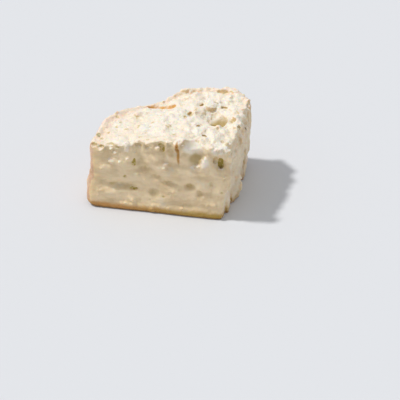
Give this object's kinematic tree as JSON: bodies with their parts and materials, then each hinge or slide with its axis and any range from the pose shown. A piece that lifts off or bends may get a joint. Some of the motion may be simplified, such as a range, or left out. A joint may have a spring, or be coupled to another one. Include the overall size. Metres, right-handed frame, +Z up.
{
  "type": "gorgonzola wedge",
  "caption": "Block of soft gorgonzola: half the height of a sector of a small wheel, knife-cut in front, with rind below and behind and a torn, lumpy top and side.",
  "frame": {"origin": "under the middle of the block's box, at the base", "axes": "+X along the knife cut towards the torn side, +Y from the knife-cut face towards the heel, +Z up from the flat rind to the torn top"},
  "size_m": [0.1662, 0.1326, 0.0937],
  "materials": {
    "cheese": "satin"
  },
  "bodies": {
    "root": {"gorgonzola_wedge": "cheese"}
  },
  "joints": []
}
